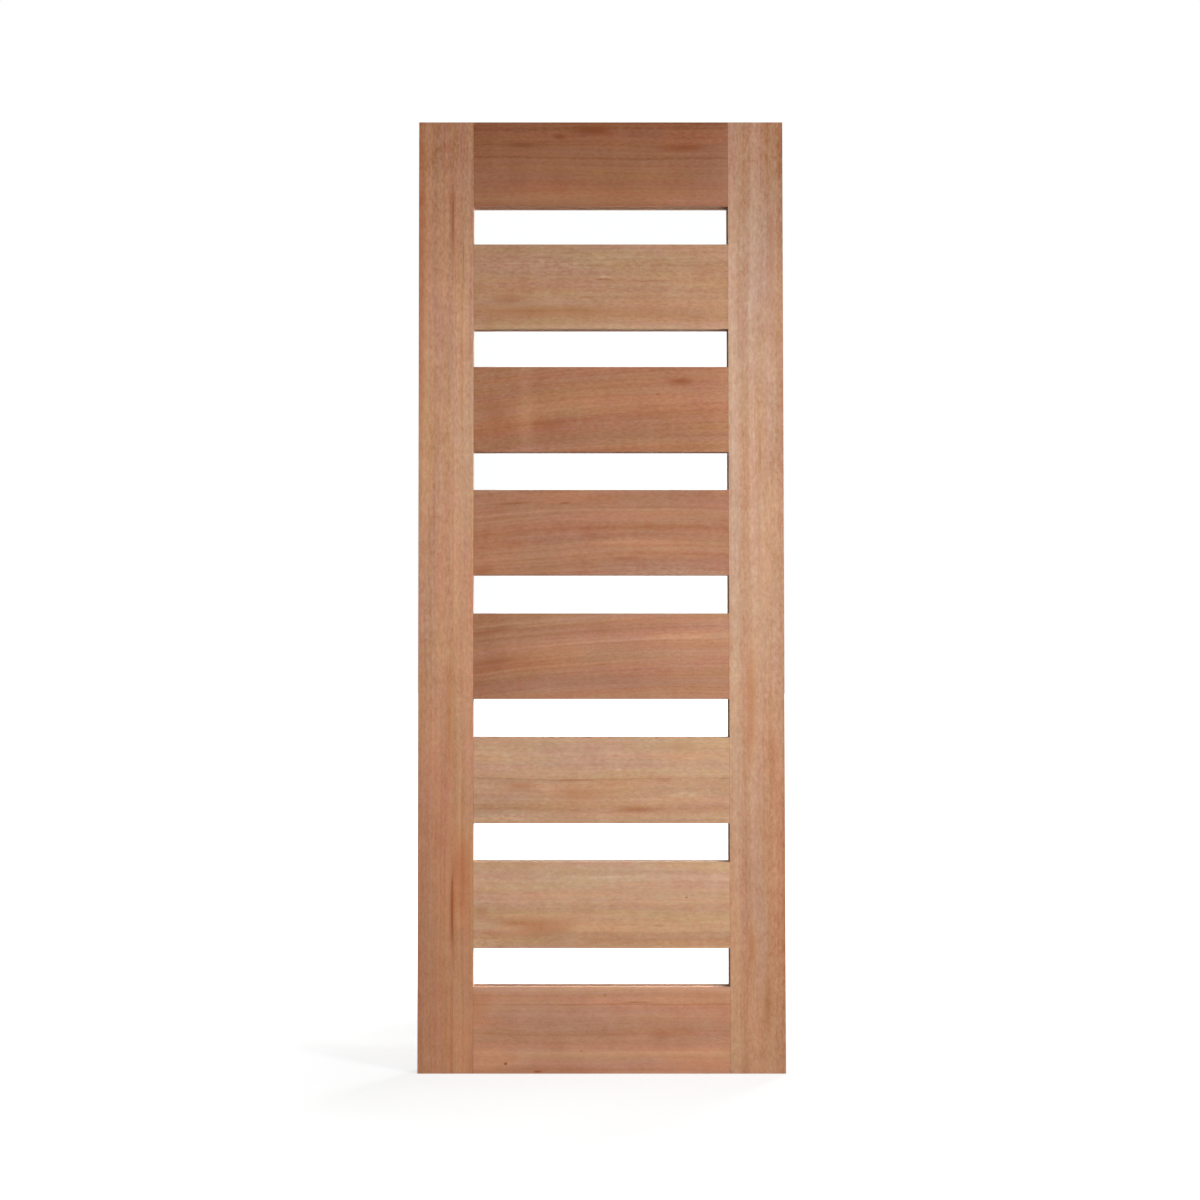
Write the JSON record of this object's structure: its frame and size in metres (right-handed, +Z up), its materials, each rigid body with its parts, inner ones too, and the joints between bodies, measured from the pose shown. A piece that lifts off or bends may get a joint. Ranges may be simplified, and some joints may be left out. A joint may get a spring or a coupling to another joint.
{
  "type": "glazed wooden door leaf",
  "caption": "Hardwood door leaf of two stiles and equal cross rails, with equal narrow horizontal lights glazed from the back.",
  "frame": {"origin": "on the outer edge face of the left stile, where the hinges are fastened, at the bottom of the leaf and at mid-thickness", "axes": "+X across the width from the left stile to the right one, +Y through the thickness from the show face to the beaded face, +Z up"},
  "size_m": [0.762, 0.044, 1.981],
  "materials": {
    "stile_wood": "sanded bare reddish-brown hardwood, matte",
    "rail_wood": "sanded bare reddish-brown hardwood, matte",
    "bead_wood": "planed bare reddish-brown hardwood, matte",
    "clear_glass": "clear float glass, polished edges hidden in the rebates"
  },
  "bodies": {
    "root": {"left_stile": "stile_wood", "right_stile": "stile_wood", "bottom_rail": "rail_wood", "cross_rail_1": "rail_wood", "cross_rail_2": "rail_wood", "cross_rail_3": "rail_wood", "cross_rail_4": "rail_wood", "cross_rail_5": "rail_wood", "cross_rail_6": "rail_wood", "top_rail": "rail_wood", "glass_pane_1": "clear_glass", "bead_bottom_1": "bead_wood", "bead_top_1": "bead_wood", "bead_left_1": "bead_wood", "bead_right_1": "bead_wood", "glass_pane_2": "clear_glass", "bead_bottom_2": "bead_wood", "bead_top_2": "bead_wood", "bead_left_2": "bead_wood", "bead_right_2": "bead_wood", "glass_pane_3": "clear_glass", "bead_bottom_3": "bead_wood", "bead_top_3": "bead_wood", "bead_left_3": "bead_wood", "bead_right_3": "bead_wood", "glass_pane_4": "clear_glass", "bead_bottom_4": "bead_wood", "bead_top_4": "bead_wood", "bead_left_4": "bead_wood", "bead_right_4": "bead_wood", "glass_pane_5": "clear_glass", "bead_bottom_5": "bead_wood", "bead_top_5": "bead_wood", "bead_left_5": "bead_wood", "bead_right_5": "bead_wood", "glass_pane_6": "clear_glass", "bead_bottom_6": "bead_wood", "bead_top_6": "bead_wood", "bead_left_6": "bead_wood", "bead_right_6": "bead_wood", "glass_pane_7": "clear_glass", "bead_bottom_7": "bead_wood", "bead_top_7": "bead_wood", "bead_left_7": "bead_wood", "bead_right_7": "bead_wood"}
  },
  "joints": []
}
